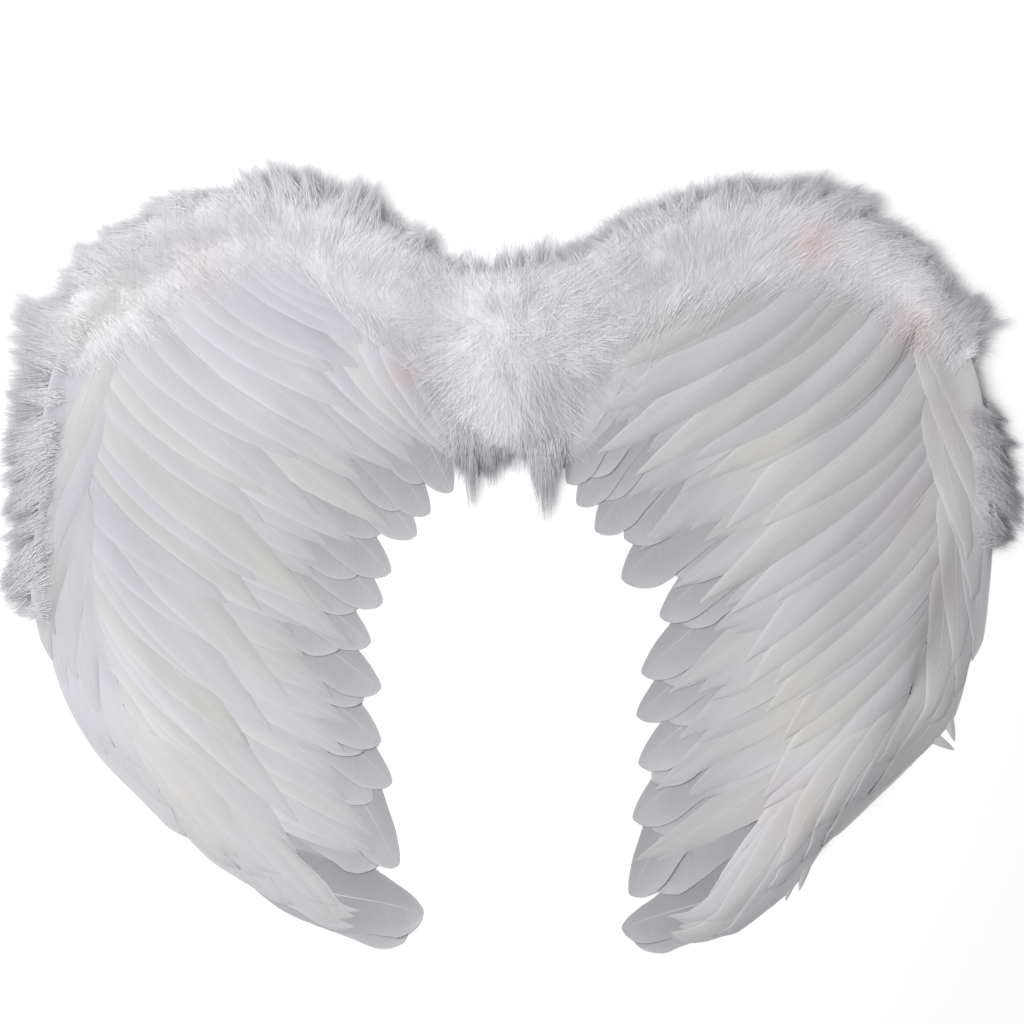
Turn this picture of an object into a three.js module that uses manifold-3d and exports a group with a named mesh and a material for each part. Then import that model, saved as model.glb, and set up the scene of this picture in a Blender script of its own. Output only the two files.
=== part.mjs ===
// Feather fairy wings: a pair of white costume wings, lying feather side up on their backing panels.
// Millimetres, +Z up. The origin is the middle of the yoke's back face, which sits on the wearer's back.
// X runs across the pair, and the wing tips point towards -Y. Each wing is worked out on the +X side,
// and the left one is mirrored as a group.

import * as THREE from "three";
import { mergeVertices } from "three/addons/utils/BufferGeometryUtils.js";
import Module from "manifold-3d";

const wasm = await Module();
wasm.setup();

// Driving dimensions
const PANEL_THICKNESS = 2;
const PANEL_INSET = 13;
const YOKE_HALF_WIDTH = 30;
const YOKE_TOP = 55;
const YOKE_BOTTOM = -45;
const BUTT_GAP = 0.3;
const LAY_GAP = 0.3;
const VANE_THICKNESS = 1;
const VANE_RIM = 0.6;
const BOA_STEPS = { coreSteps: 15, lockCount: 26, lockStart: 0.09, lockScale: 1 };
const CENTRE_STEPS = { coreSteps: 8, lockCount: 15, lockStart: 0, lockScale: 1.3 };
const LOCK_SIDES = 4;
const LOCK_HALF_WIDTH = 10.5;
const LOCK_HALF_HEIGHT = 5;

// Shares of a curve or of a piece
const LOWER_SIDE_UP = 0.09;
const EDGE_SIDE_DOWN = -0.24;
const VANE_CAMBER = 0.1;
const VANE_BEND = 0.045;
const EDGE_BEND = 0.1;
const GOLDEN_TURN = 0.618;

const table = (columns, ...rows) =>
  rows.map((row) => Object.fromEntries(columns.map((name, i) => [name, row[i]])));

// The feathered outline of one wing, from the yoke over the shoulder and down the outer side to the tip
const LEADING_EDGE = table(
  ["x", "y"],
  [30, 58],
  [60, 77],
  [103, 98],
  [147, 106],
  [189, 101],
  [225, 83],
  [251, 59],
  [270, 18],
  [281, -30],
  [287, -100],
  [283, -163],
  [261, -217],
  [222, -259],
  [179, -299],
  [123, -333],
  [92, -338],
);

// The panel's inner edge, from the tip back to the yoke. The flight feathers reach past it.
const INNER_EDGE = table(
  ["x", "y"],
  [108, -308],
  [126, -285],
  [144, -245],
  [156, -190],
  [157, -140],
  [142, -95],
  [105, -62],
  [66, -47],
  [30, -45],
);

// A feather's half width along its length, as a share of the widest
const VANE_SHAPE = table(
  ["along", "spread"],
  [0, 0.12],
  [0.14, 0.46],
  [0.36, 0.92],
  [0.62, 1],
  [0.87, 0.8],
  [1, 0.3],
);

// Each feather lies from its tip back along its lean, in degrees above the inward horizontal.
const FEATHER = ["tipX", "tipY", "lean", "length", "width"];

const RIGHT_FLIGHT = table(
  FEATHER,
  [32, -68, 62, 105, 30],
  [38, -81, 57, 118, 34],
  [48, -95, 50, 130, 38],
  [62, -120, 43, 142, 42],
  [87, -150, 40, 138, 40],
  [77, -183, 37, 150, 42],
  [74, -209, 36, 152, 42],
  [74, -239, 36, 152, 43],
  [70, -270, 38, 152, 43],
  [67, -312, 42, 150, 43],
  [64, -336, 37, 140, 36],
);

const LEFT_FLIGHT = table(
  FEATHER,
  [38, -68, 56, 108, 30],
  [51, -86, 50, 122, 34],
  [59, -98, 44, 134, 38],
  [73, -121, 40, 138, 38],
  [79, -140, 38, 144, 40],
  [86, -164, 36, 140, 40],
  [79, -192, 33, 152, 42],
  [80, -224, 35, 150, 43],
  [73, -250, 38, 152, 42],
  [65, -291, 42, 152, 44],
  [54, -326, 35, 150, 40],
);

const MIDDLE_COVERTS = table(
  FEATHER,
  [50, -46, 66, 82, 34],
  [80, -52, 55, 92, 34],
  [102, -74, 50, 102, 38],
  [122, -100, 46, 108, 39],
  [135, -130, 44, 112, 40],
  [137, -162, 43, 114, 40],
  [134, -195, 43, 115, 40],
  [129, -228, 44, 115, 40],
  [120, -262, 45, 114, 40],
  [107, -297, 44, 110, 38],
);

const UPPER_COVERTS = table(
  FEATHER,
  [44, 16, 62, 62, 32],
  [61, 22, 52, 80, 34],
  [78, 22, 45, 96, 36],
  [95, 10, 41, 113, 38],
  [117, -18, 41, 125, 40],
  [142, -55, 44, 132, 40],
  [161, -95, 48, 138, 40],
  [173, -136, 51, 140, 40],
  [180, -176, 54, 140, 40],
  [181, -213, 56, 138, 40],
  [174, -248, 56, 132, 40],
  [161, -278, 54, 122, 39],
  [144, -303, 50, 108, 36],
);

const EDGE_FEATHERS = table(
  FEATHER,
  [268, -118, 97, 150, 38],
  [247, -205, 84, 138, 38],
  [203, -262, 69, 131, 38],
  [148, -307, 54, 129, 38],
  [88, -333, 41, 126, 36],
);

// The way of the centre's boa, down over the yoke
const CENTRE_PATH = table(["x", "y"], [-2, 64], [2, 30], [-3, -5], [4, -38], [10, -70]);

// How far inside the feathered outline a boa's core runs, by the share of the leading edge
const BOA_INSET = table(["along", "inset"], [0, 12], [0.3, 12], [0.42, 1], [1, 1]);

// The core of a boa along its way: full over the shoulder, slim where the edge feathers lie over it
const BOA_CORE = table(
  ["along", "halfWidth", "halfHeight"],
  [0, 6, 4],
  [0.06, 16, 8],
  [0.48, 15, 8],
  [0.66, 9, 3.5],
  [0.95, 8, 3],
  [1, 4, 2],
);

const CENTRE_CORE = table(
  ["along", "halfWidth", "halfHeight"],
  [0, 9, 4],
  [0.12, 22, 9],
  [0.85, 22, 9],
  [1, 9, 4],
);

// Fluff on a core: its turn from straight out (0) to straight in (180), its lift, reach and drop
const LOCK = ["turn", "lift", "reach", "drop"];

const SHOULDER_LOCKS = table(
  LOCK,
  [2, 4, 34, 5],
  [-12, 18, 34, 10],
  [152, 30, 32, 8],
  [10, 8, 36, 7],
  [-4, 24, 33, 12],
  [75, 54, 24, 3],
);

const OUTER_LOCKS = table(LOCK, [-8, 3, 22, 2], [14, 6, 25, 4], [-20, 4, 20, 3], [4, 8, 26, 5]);
const OUTER_FROM = 0.62;

const materials = {
  panel: { color: "#e4e2dc", roughness: 0.95 },
  feather: { color: "#dedde0", roughness: 0.6 },
  boa: { color: "#d9d8de", roughness: 0.9 },
};

const materialOf = (slot) => new THREE.MeshStandardMaterial({ ...materials[slot], metalness: 0 });

const splineOf = (rows) => new THREE.SplineCurve(rows.map(({ x, y }) => new THREE.Vector2(x, y)));

// The side of a curve that lies to the left of its way forward
const leftOf = (tangent) => new THREE.Vector2(-tangent.y, tangent.x);

function namedMesh(name, geometry, slot) {
  const mesh = new THREE.Mesh(geometry, materialOf(slot));
  mesh.name = name;
  return mesh;
}

// Joined solids

function solidOf(geometry) {
  const bare = geometry.clone();
  bare.deleteAttribute("normal");
  bare.deleteAttribute("uv");
  const merged = mergeVertices(bare, 1e-4);
  const vertProperties = merged.getAttribute("position").array;
  const triVerts = new Uint32Array(merged.index.array);
  return new wasm.Manifold(new wasm.Mesh({ numProp: 3, vertProperties, triVerts }));
}

function geometryOf(solid) {
  const { vertProperties, triVerts } = solid.getMesh();
  return new THREE.BufferGeometry()
    .setAttribute("position", new THREE.BufferAttribute(vertProperties, 3))
    .setIndex(new THREE.BufferAttribute(triVerts, 1));
}

const joined = (geometries) =>
  geometryOf(geometries.map(solidOf).reduce((whole, solid) => whole.add(solid)));

// Six times the volume inside a closed skin, negative where its faces point inwards
function signedVolume(points, faces) {
  let sum = 0;
  for (let i = 0; i < faces.length; i += 3) {
    const [a, b, c] = [0, 1, 2].map((k) => points[faces[i + k]]);
    sum += a.dot(b.clone().cross(c));
  }
  return sum;
}

// A closed skin over rings of equal length that follow each other, with flat ends
function skin(rings) {
  const sides = rings[0].length;
  const faces = [];
  for (let ring = 0; ring + 1 < rings.length; ring++) {
    for (let i = 0; i < sides; i++) {
      const a = ring * sides + i;
      const b = ring * sides + ((i + 1) % sides);
      faces.push(a, b, a + sides, b, b + sides, a + sides);
    }
  }
  const last = (rings.length - 1) * sides;
  for (let i = 1; i + 1 < sides; i++) {
    faces.push(0, i + 1, i, last, last + i, last + i + 1);
  }
  const points = rings.flat();
  if (signedVolume(points, faces) < 0) faces.reverse();
  return new THREE.BufferGeometry().setFromPoints(points).setIndex(faces);
}

// The highest surface laid so far over each square of a grid, with the floor at 0
class Ground {
  static CELL = 1;
  static LOW = new THREE.Vector2(-80, -380);
  static COLUMNS = 420;
  static ROWS = 540;

  heights = new Float32Array(Ground.COLUMNS * Ground.ROWS);

  square(x, y) {
    const column = Math.round((x - Ground.LOW.x) / Ground.CELL);
    const row = Math.round((y - Ground.LOW.y) / Ground.CELL);
    return row * Ground.COLUMNS + column;
  }

  // The highest of the squares round a point
  top(x, y) {
    let highest = 0;
    for (const dx of [-1, 0, 1]) {
      for (const dy of [-1, 0, 1]) {
        const square = this.square(x + dx * Ground.CELL, y + dy * Ground.CELL);
        highest = Math.max(highest, this.heights[square] ?? 0);
      }
    }
    return highest;
  }

  raise(x, y, z) {
    const square = this.square(x, y);
    this.heights[square] = Math.max(this.heights[square], z);
  }

  // Raises every square under a geometry
  raiseUnder(geometry) {
    const flat = geometry.toNonIndexed().getAttribute("position");
    const [a, b, c, p] = [0, 1, 2, 3].map(() => new THREE.Vector3());
    for (let i = 0; i < flat.count; i += 3) {
      [a, b, c].forEach((corner, k) => corner.fromBufferAttribute(flat, i + k));
      const steps = Math.ceil(Math.max(a.distanceTo(b), a.distanceTo(c)) / Ground.CELL) + 1;
      for (let u = 0; u <= steps; u++) {
        for (let v = 0; u + v <= steps; v++) {
          p.copy(a).addScaledVector(b, u / steps).addScaledVector(a, -(u + v) / steps);
          p.addScaledVector(c, v / steps);
          this.raise(p.x, p.y, p.z);
        }
      }
    }
  }

  // Raises every square whose middle lies inside a closed outline
  raiseInside(outline, z) {
    for (let row = 0; row < Ground.ROWS; row++) {
      for (let column = 0; column < Ground.COLUMNS; column++) {
        const x = Ground.LOW.x + column * Ground.CELL;
        const y = Ground.LOW.y + row * Ground.CELL;
        if (isInside(outline, x, y)) this.raise(x, y, z);
      }
    }
  }
}

function isInside(outline, x, y) {
  let inside = false;
  outline.forEach((p, i) => {
    const q = outline[(i + 1) % outline.length];
    const crosses = p.y > y !== q.y > y;
    if (crosses && x < p.x + ((y - p.y) / (q.y - p.y)) * (q.x - p.x)) inside = !inside;
  });
  return inside;
}

// Backing

const PANEL_EDGE_STEPS = 28;
const INNER_EDGE_STEPS = 13;
const PANEL_END = 0.95;

function panelOutline() {
  const edge = splineOf(LEADING_EDGE);
  const outer = edge.getSpacedPoints(PANEL_EDGE_STEPS).map((point, i) => {
    const tangent = edge.getTangentAt(i / PANEL_EDGE_STEPS);
    return point.clone().addScaledVector(leftOf(tangent), -PANEL_INSET);
  });
  const start = YOKE_HALF_WIDTH + BUTT_GAP;
  const clear = (point) => point.x > start + 1;
  const inner = splineOf(INNER_EDGE).getSpacedPoints(INNER_EDGE_STEPS);
  return [
    new THREE.Vector2(start, YOKE_TOP - BUTT_GAP),
    ...outer.filter((point, i) => clear(point) && i / PANEL_EDGE_STEPS < PANEL_END),
    ...inner.filter(clear),
    new THREE.Vector2(start, YOKE_BOTTOM + BUTT_GAP),
  ];
}

const plate = (outline) =>
  new THREE.ExtrudeGeometry(new THREE.Shape(outline), { depth: PANEL_THICKNESS, bevelEnabled: false });

function yoke() {
  const corner = 8;
  const shape = new THREE.Shape();
  shape.moveTo(-YOKE_HALF_WIDTH, YOKE_BOTTOM);
  shape.lineTo(YOKE_HALF_WIDTH, YOKE_BOTTOM);
  shape.lineTo(YOKE_HALF_WIDTH, YOKE_TOP);
  shape.lineTo(corner, YOKE_TOP);
  shape.quadraticCurveTo(0, YOKE_TOP - corner, -corner, YOKE_TOP);
  shape.lineTo(-YOKE_HALF_WIDTH, YOKE_TOP);
  return new THREE.ExtrudeGeometry(shape, {
    depth: PANEL_THICKNESS,
    bevelEnabled: false,
    curveSegments: 6,
  });
}

// Feathers

const ACROSS = [-1, 0, 1];
const LAY_STEPS = 36;
const LAY_ACROSS = 36;
const STIFFNESS_PASSES = 6;
const STIFFNESS_SAG = 0.5;

// One cross-section of a vane in its feather's frame: the spine point, the way across and the half width
function vaneSections({ length, width }, bend) {
  const spine = new THREE.QuadraticBezierCurve(
    new THREE.Vector2(0, 0),
    new THREE.Vector2(length / 2, 2 * bend * length),
    new THREE.Vector2(length, 0),
  );
  return VANE_SHAPE.map(({ along, spread }) => ({
    middle: spine.getPoint(along),
    across: leftOf(spine.getTangent(along)),
    half: (spread * width) / 2,
    along,
  }));
}

// Heights of a vane's top and underside over its spine, at a share across from -1 to 1
function vaneProfile(section, tilt, share) {
  const top = section.half * (tilt * share - VANE_CAMBER * Math.abs(share));
  const thickness = THREE.MathUtils.lerp(VANE_THICKNESS, VANE_RIM, Math.abs(share));
  return { top, under: top - thickness };
}

// A point of a vane between two of its sections, in plan
function vanePoint(a, b, part, share) {
  const p = a.middle.clone().addScaledVector(a.across, a.half * share);
  const q = b.middle.clone().addScaledVector(b.across, b.half * share);
  return p.lerp(q, part);
}

// Calls visit(plan point, top, underside, section index, part) all over a vane
function walkVane(sections, tilt, visit) {
  for (let i = 0; i + 1 < sections.length; i++) {
    for (let step = 0; step <= LAY_STEPS; step++) {
      const part = step / LAY_STEPS;
      for (let k = 0; k <= LAY_ACROSS; k++) {
        const share = (2 * k) / LAY_ACROSS - 1;
        const a = vaneProfile(sections[i], tilt, share);
        const b = vaneProfile(sections[i + 1], tilt, share);
        const point = vanePoint(sections[i], sections[i + 1], part, share);
        const mix = (key) => THREE.MathUtils.lerp(a[key], b[key], part);
        visit(point, mix("top"), mix("under"), i, part);
      }
    }
  }
}

// How high each section's spine has to be for the feather to lie on the ground without touching it.
// The vane is stiff, so it bridges what lies between two supports, and then it sinks until it rests.
function layHeights(sections, tilt, place, ground) {
  const heights = sections.map(() => 0);
  const needs = [];
  walkVane(sections, tilt, (point, top, under, i, part) => {
    const spot = place(point);
    const needed = ground.top(spot.x, spot.y) + LAY_GAP - under;
    heights[i] = Math.max(heights[i], needed);
    heights[i + 1] = Math.max(heights[i + 1], needed);
    needs.push({ needed, i, part });
  });
  for (let pass = 0; pass < STIFFNESS_PASSES; pass++) {
    for (let i = 1; i + 1 < heights.length; i++) {
      const span = sections[i + 1].along - sections[i - 1].along;
      const part = (sections[i].along - sections[i - 1].along) / span;
      const straight = THREE.MathUtils.lerp(heights[i - 1], heights[i + 1], part);
      heights[i] = Math.max(heights[i], straight - STIFFNESS_SAG);
    }
  }
  const spare = needs.reduce((least, { needed, i, part }) => {
    return Math.min(least, THREE.MathUtils.lerp(heights[i], heights[i + 1], part) - needed);
  }, Infinity);
  return heights.map((height) => height - spare);
}

// The closed solid of a vane whose spine has these heights
function vaneGeometry(sections, tilt, heights) {
  const rings = sections.map((section, i) => {
    const corner = (share, key) => {
      const point = section.middle.clone().addScaledVector(section.across, section.half * share);
      return new THREE.Vector3(point.x, point.y, heights[i] + vaneProfile(section, tilt, share)[key]);
    };
    const over = ACROSS.map((share) => corner(share, "top"));
    const below = ACROSS.map((share) => corner(share, "under")).reverse();
    return [...over, ...below];
  });
  return skin(rings);
}

// Lays one feather on the ground and returns its mesh, placed at its quill and turned along its lean
function layFeather(name, feather, { tilt, bend }, ground) {
  const lean = THREE.MathUtils.degToRad(feather.lean);
  const sections = vaneSections(feather, bend);
  const mesh = namedMesh(name, new THREE.BufferGeometry(), "feather");
  mesh.position.set(
    feather.tipX + feather.length * Math.cos(lean),
    feather.tipY + feather.length * Math.sin(lean),
    0,
  );
  mesh.rotation.z = lean + Math.PI;
  mesh.updateMatrix();
  const place = (point) => new THREE.Vector3(point.x, point.y, 0).applyMatrix4(mesh.matrix);
  const heights = layHeights(sections, tilt, place, ground);
  const toTape = TAPE_QUILL / VANE_SHAPE[1].along;
  mesh.userData.quillHeight = THREE.MathUtils.lerp(heights[0], heights[1], toTape);
  mesh.geometry = vaneGeometry(sections, tilt, heights);
  walkVane(sections, tilt, (point, top, under, i, part) => {
    const spot = place(point);
    ground.raise(spot.x, spot.y, THREE.MathUtils.lerp(heights[i], heights[i + 1], part) + top);
  });
  return mesh;
}

// Lays a row from the wing tip upwards, so that each feather covers the upper side of the one below it
function layRow(prefix, rows, style, ground) {
  const meshes = rows.map(() => null);
  for (let i = rows.length - 1; i >= 0; i--) {
    const number = String(i + 1).padStart(2, "0");
    meshes[i] = layFeather(`${prefix}_${number}`, rows[i], style, ground);
  }
  return meshes;
}

// Sews a row to a tape along its quills, which makes it one piece
const TAPE_HALF_WIDTH = 3.5;
const TAPE_OVER = 0.7;
const TAPE_UNDER = 1.2;
const TAPE_QUILL = 0.03;

function sewnRow(name, meshes, ground) {
  const quills = meshes.map((mesh, i) => {
    const spot = new THREE.Vector3(UPPER_COVERTS[i].length * TAPE_QUILL, 0, mesh.userData.quillHeight);
    return spot.applyMatrix4(mesh.matrix);
  });
  const line = new THREE.SplineCurve(quills.map(({ x, y }) => new THREE.Vector2(x, y)));
  const tape = skin(
    quills.map((quill, i) => {
      const across = leftOf(line.getTangent(i / (quills.length - 1)));
      const corner = (share, z) =>
        new THREE.Vector3(
          quill.x + across.x * share * TAPE_HALF_WIDTH,
          quill.y + across.y * share * TAPE_HALF_WIDTH,
          quill.z + z,
        );
      return [
        corner(-1, TAPE_OVER),
        corner(1, TAPE_OVER),
        corner(1, -TAPE_UNDER),
        corner(-1, -TAPE_UNDER),
      ];
    }),
  );
  ground.raiseUnder(tape);
  const feathers = meshes.map((mesh) => mesh.geometry.clone().applyMatrix4(mesh.matrix));
  return namedMesh(name, joined([tape, ...feathers]), "feather");
}

// Marabou boas

const LOCK_RINGS = table(["along", "girth"], [0, 1], [0.6, 0.74], [1, 0.08]);
const LOCK_SPOTS = [0, 0.125, 0.25, 0.375, 0.5, 0.625, 0.75, 0.875, 1];
const LOCK_ACROSS = [-1, -0.75, -0.5, -0.25, 0, 0.25, 0.5, 0.75, 1];
const CORE_SIDES = 8;
const CORE_SPOTS = Array.from({ length: 17 }, (_, i) => i / 16);
const CORE_ACROSS = Array.from({ length: 25 }, (_, i) => i / 12 - 1);

// A lock of fluff as a bent cone on the ground, from a base point along a heading
function lock(base, heading, { lift, reach, drop }, top) {
  const rise = THREE.MathUtils.degToRad(lift);
  const forward = new THREE.Vector3(Math.cos(heading), Math.sin(heading), 0);
  const sideways = new THREE.Vector3(-forward.y, forward.x, 0);
  const middleAt = (along) => {
    const middle = base.clone().addScaledVector(forward, reach * along * Math.cos(rise));
    middle.z += reach * along * Math.sin(rise) - drop * along * along;
    return middle;
  };
  const middles = LOCK_RINGS.map(({ along }) => middleAt(along));
  for (let i = 0; i + 1 < LOCK_RINGS.length; i++) {
    for (const part of LOCK_SPOTS) {
      const along = THREE.MathUtils.lerp(LOCK_RINGS[i].along, LOCK_RINGS[i + 1].along, part);
      const girth = THREE.MathUtils.lerp(LOCK_RINGS[i].girth, LOCK_RINGS[i + 1].girth, part);
      for (const share of LOCK_ACROSS) {
        const spot = middleAt(along).addScaledVector(sideways, share * girth * LOCK_HALF_WIDTH);
        const needed = top(spot.x, spot.y) + girth * LOCK_HALF_HEIGHT + LAY_GAP;
        middles[i].z = Math.max(middles[i].z, needed);
        middles[i + 1].z = Math.max(middles[i + 1].z, needed);
      }
    }
  }
  const rings = LOCK_RINGS.map(({ girth }, i) =>
    Array.from({ length: LOCK_SIDES }, (_, k) => {
      const turn = (2 * Math.PI * k) / LOCK_SIDES;
      const out = girth * LOCK_HALF_WIDTH * Math.cos(turn);
      const point = middles[i].clone().addScaledVector(sideways, out);
      point.z += girth * LOCK_HALF_HEIGHT * Math.sin(turn);
      return point;
    }),
  );
  return skin(rings);
}

// A value from one column of a table, at a share along it
function columnAt(rows, column, along) {
  const next = Math.max(rows.findIndex((row) => row.along >= along), 1);
  const [a, b] = [rows[next - 1], rows[next]];
  return THREE.MathUtils.mapLinear(along, a.along, b.along, a[column], b[column]);
}

// How far a core's underside is below its middle at a share across, for a half height of 1
function coreBelow(share) {
  const across = Math.abs(share);
  const knee = Math.SQRT1_2;
  if (across < knee) return THREE.MathUtils.mapLinear(across, 0, knee, 1, knee);
  return THREE.MathUtils.mapLinear(across, knee, 1, knee, 0);
}

// How high each section of a core has to be to clear the ground, sunk until it rests
function coreLevels(sections, top) {
  const levels = sections.map(() => 0);
  const needs = [];
  const rim = ({ point, side, halfWidth }, share) => point.clone().addScaledVector(side, share * halfWidth);
  for (let i = 0; i + 1 < sections.length; i++) {
    const [a, b] = [sections[i], sections[i + 1]];
    for (const part of CORE_SPOTS) {
      const halfHeight = THREE.MathUtils.lerp(a.halfHeight, b.halfHeight, part);
      for (const share of CORE_ACROSS) {
        const spot = rim(a, share).lerp(rim(b, share), part);
        const needed = top(spot.x, spot.y) + LAY_GAP + coreBelow(share) * halfHeight;
        levels[i] = Math.max(levels[i], needed);
        levels[i + 1] = Math.max(levels[i + 1], needed);
        needs.push({ needed, i, part });
      }
    }
  }
  const spare = needs.reduce((least, { needed, i, part }) => {
    return Math.min(least, THREE.MathUtils.lerp(levels[i], levels[i + 1], part) - needed);
  }, Infinity);
  return levels.map((level) => level - spare);
}

// A boa along a plan curve: a core with locks round it, fused into one body
function boa(name, path, profile, steps, lockRow, top) {
  const { coreSteps, lockCount, lockStart, lockScale } = steps;
  const shares = Array.from({ length: coreSteps + 1 }, (_, i) => i / coreSteps);
  const sections = shares.map((share) => ({
    point: path.getPointAt(share),
    side: leftOf(path.getTangentAt(share)),
    halfWidth: columnAt(profile, "halfWidth", share),
    halfHeight: columnAt(profile, "halfHeight", share),
  }));
  const levels = coreLevels(sections, top);
  const level = (share) => {
    const spot = THREE.MathUtils.clamp(share, 0, 1) * coreSteps;
    const i = Math.min(Math.floor(spot), coreSteps - 1);
    return THREE.MathUtils.lerp(levels[i], levels[i + 1], spot - i);
  };
  const core = skin(
    sections.map(({ point, side, halfWidth, halfHeight }, i) =>
      Array.from({ length: CORE_SIDES }, (_, k) => {
        const turn = (2 * Math.PI * k) / CORE_SIDES;
        const out = halfWidth * Math.cos(turn);
        const z = levels[i] + halfHeight * Math.sin(turn);
        return new THREE.Vector3(point.x + side.x * out, point.y + side.y * out, z);
      }),
    ),
  );
  const locks = Array.from({ length: lockCount }, (_, i) => {
    const share = THREE.MathUtils.lerp(lockStart, 1, (i + 0.5) / lockCount);
    const row = lockRow(share, i);
    const point = path.getPointAt(share);
    const outward = leftOf(path.getTangentAt(share));
    const wander = 24 * (((i * GOLDEN_TURN) % 1) - 0.5);
    const heading = Math.atan2(outward.y, outward.x) - THREE.MathUtils.degToRad(row.turn + wander);
    const scaled = { ...row, reach: row.reach * lockScale };
    return lock(new THREE.Vector3(point.x, point.y, level(share)), heading, scaled, top);
  });
  return namedMesh(name, joined([core, ...locks]), "boa");
}

// The stretch of the leading edge that a wing's boa follows, up to where it ends on the outer side
function boaPath(reach) {
  const edge = splineOf(LEADING_EDGE);
  const steps = 36;
  const points = edge.getSpacedPoints(steps).map((point, i) => {
    const tangent = edge.getTangentAt(i / steps);
    return point.clone().addScaledVector(leftOf(tangent), -columnAt(BOA_INSET, "inset", i / steps));
  });
  return new THREE.SplineCurve(points.filter((_, i) => i / steps <= reach));
}

// One wing on the +X side
function wing(side, flight, boaReach) {
  const ground = new Ground();
  const outline = panelOutline();
  ground.raiseInside(outline, PANEL_THICKNESS);
  const vane = { tilt: LOWER_SIDE_UP, bend: VANE_BEND };
  const edge = { tilt: EDGE_SIDE_DOWN, bend: EDGE_BEND };
  const group = new THREE.Group();
  group.add(namedMesh(`${side}_panel`, plate(outline), "panel"));
  group.add(...layRow(`${side}_flight`, flight, vane, ground));
  group.add(...layRow(`${side}_covert`, MIDDLE_COVERTS, vane, ground));
  const upper = layRow(`${side}_upper`, UPPER_COVERTS, vane, ground);
  group.add(sewnRow(`${side}_upper_coverts`, upper, ground));
  const top = (x, y) => ground.top(x, y);
  const lockRow = (share, i) => {
    const rows = share < OUTER_FROM ? SHOULDER_LOCKS : OUTER_LOCKS;
    return rows[i % rows.length];
  };
  const fluff = boa(`${side}_boa`, boaPath(boaReach), BOA_CORE, BOA_STEPS, lockRow, top);
  ground.raiseUnder(fluff.geometry);
  group.add(fluff);
  group.add(...layRow(`${side}_edge`, EDGE_FEATHERS, edge, ground));
  return { group, ground };
}

const right = wing("right", RIGHT_FLIGHT, 0.56);
const left = wing("left", LEFT_FLIGHT, 0.62);
left.group.scale.x = -1;

// The centre's boa hangs down over the yoke and lies over the ends of the other two.
function centreBoa() {
  const path = splineOf(CENTRE_PATH);
  const yokeTop = (x, y) => {
    const inside = Math.abs(x) < YOKE_HALF_WIDTH + BUTT_GAP && y < YOKE_TOP && y > YOKE_BOTTOM;
    return inside ? PANEL_THICKNESS : 0;
  };
  const top = (x, y) => Math.max(yokeTop(x, y), right.ground.top(x, y), left.ground.top(-x, y));
  const lockRow = (share, i) => SHOULDER_LOCKS[i % SHOULDER_LOCKS.length];
  return boa("centre_boa", path, CENTRE_CORE, CENTRE_STEPS, lockRow, top);
}

const part = new THREE.Group();
part.add(namedMesh("yoke", yoke(), "panel"), right.group, left.group, centreBoa());

export default part;
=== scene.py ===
import bpy
import numpy as np
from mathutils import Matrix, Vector
from mathutils.bvhtree import BVHTree


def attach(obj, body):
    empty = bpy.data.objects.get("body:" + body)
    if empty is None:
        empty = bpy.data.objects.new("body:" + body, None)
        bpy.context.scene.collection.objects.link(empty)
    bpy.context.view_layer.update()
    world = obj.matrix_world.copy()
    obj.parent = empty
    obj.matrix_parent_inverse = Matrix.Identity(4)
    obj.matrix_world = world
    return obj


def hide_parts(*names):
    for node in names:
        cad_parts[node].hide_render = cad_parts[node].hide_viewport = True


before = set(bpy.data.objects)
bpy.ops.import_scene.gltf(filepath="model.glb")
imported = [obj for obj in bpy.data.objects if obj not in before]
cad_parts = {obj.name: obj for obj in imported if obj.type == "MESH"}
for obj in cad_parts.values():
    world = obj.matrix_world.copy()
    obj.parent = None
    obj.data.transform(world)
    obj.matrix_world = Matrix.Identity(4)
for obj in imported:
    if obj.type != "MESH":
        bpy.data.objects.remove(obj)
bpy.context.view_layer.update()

MM = 0.001
SIDES = {"right": 1, "left": -1}

# The photo's width in pixels, and the size of a pixel at about half the height of the wings
PHOTO_WIDTH = 1024
PIXEL = 0.6
HALF_HEIGHT = 15
VIEW_CENTRE = (-1.2, -85.2)
CAMERA_HEIGHT = 2600.0
SENSOR = 36.0

# The feathered outline of one wing, from the yoke over the shoulder and down the outer side to the tip,
# and the number of steps along it, which are about a millimetre each
EDGE_STEPS = 744
LEADING_EDGE = [
    (30, 58), (60, 77), (103, 98), (147, 106), (189, 101), (225, 83), (251, 59), (270, 18),
    (281, -30), (287, -100), (283, -163), (261, -217), (222, -259), (179, -299), (123, -333), (92, -338),
]

# Feathers: tip x, tip y, lean in degrees, length, width
FLIGHT = {
    "right": [
        (32, -69, 62, 105, 32), (38, -82, 57, 118, 36), (49, -98, 50, 130, 42), (65, -127, 39, 142, 50),
        (87, -150, 40, 138, 40), (77, -183, 37, 150, 42), (74, -209, 36, 152, 42), (74, -239, 36, 152, 43),
        (71, -272, 38, 152, 46), (70, -317, 58, 150, 42), (64, -337, 16, 90, 36),
    ],
    "left": [
        (37, -74, 60, 112, 34), (50, -88, 52, 124, 38), (59, -100, 44, 134, 42), (73, -123, 40, 138, 41),
        (79, -141, 38, 144, 42), (86, -165, 36, 140, 42), (79, -193, 33, 152, 44), (80, -225, 36, 150, 44),
        (73, -250, 40, 152, 42), (70, -299, 58, 152, 42), (53, -328, 10, 84, 46),
    ],
}
COVERT = [
    (50, -46, 66, 82, 34), (80, -52, 55, 92, 34), (102, -74, 50, 102, 38), (122, -100, 46, 108, 39),
    (135, -130, 44, 112, 40), (137, -162, 43, 114, 40), (134, -195, 43, 115, 40), (129, -228, 44, 115, 40),
    (120, -262, 45, 114, 40), (107, -297, 44, 110, 38),
]
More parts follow.
